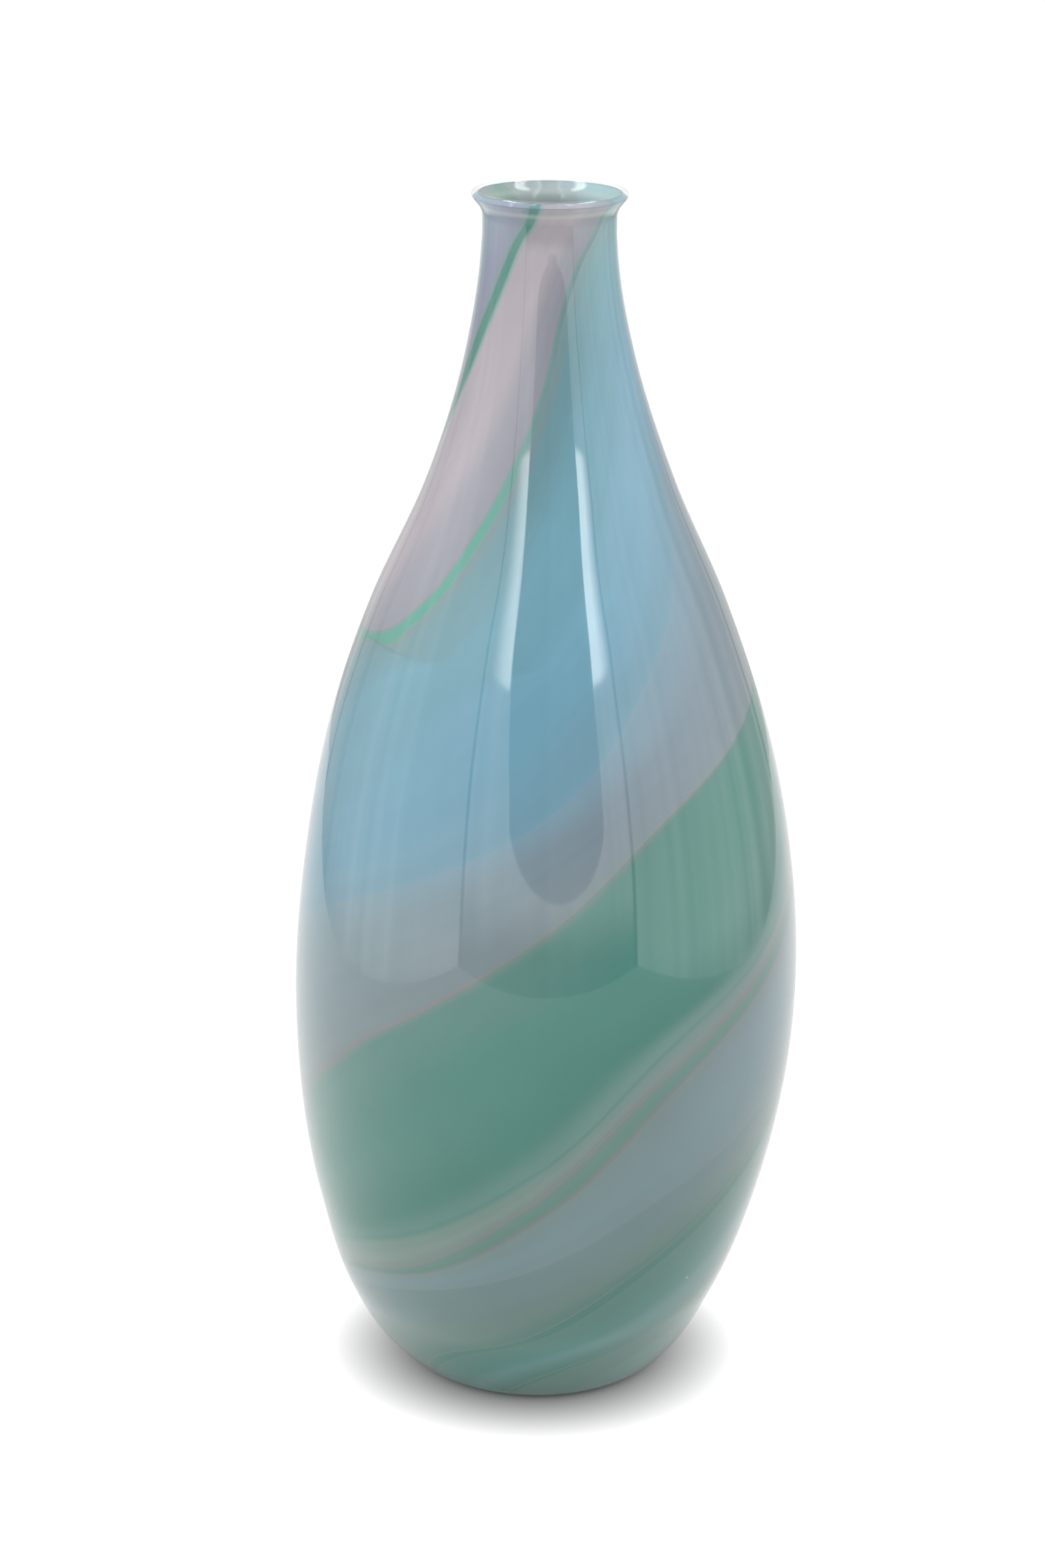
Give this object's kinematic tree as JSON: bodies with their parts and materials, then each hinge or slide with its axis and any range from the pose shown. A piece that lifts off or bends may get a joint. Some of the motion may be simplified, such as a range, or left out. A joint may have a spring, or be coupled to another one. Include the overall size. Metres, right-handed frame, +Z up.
{
  "type": "art glass vase",
  "caption": "Tall bottle-shaped blown glass vase with a narrow neck and flared lip, cased in clear glass over helical swirls of green, blue, pink and mauve.",
  "frame": {"origin": "centre of the flat foot ring, on the surface that the vase stands on", "axes": "+Z up along the vase's axis to its mouth, -Y the front, +X to the right as seen from the front"},
  "size_m": [0.163, 0.163, 0.39],
  "materials": {
    "clear_glass": "polished clear glass",
    "core_glass": "faintly milky glass",
    "dark_green_glass": "milky glass under clear glass",
    "pink_glass": "milky glass under clear glass",
    "bright_green_glass": "milky glass under clear glass",
    "blue_glass": "milky glass under clear glass",
    "mauve_glass": "milky glass under clear glass",
    "green_glass": "milky glass under clear glass",
    "mauve_grey_glass": "milky glass under clear glass",
    "fine_green_glass": "milky glass under clear glass",
    "pale_blue_glass": "milky glass under clear glass",
    "violet_glass": "milky glass under clear glass"
  },
  "bodies": {
    "root": {"clear_casing": "clear_glass", "inner_core": "core_glass", "dark_green_cane": "dark_green_glass", "pink_ribbon": "pink_glass", "bright_green_cane": "bright_green_glass", "blue_ribbon": "blue_glass", "mauve_ribbon": "mauve_glass", "wide_green_ribbon": "green_glass", "mauve_grey_streak": "mauve_grey_glass", "fine_green_cane": "fine_green_glass", "pale_blue_ribbon": "pale_blue_glass", "violet_ribbon": "violet_glass"}
  },
  "joints": []
}
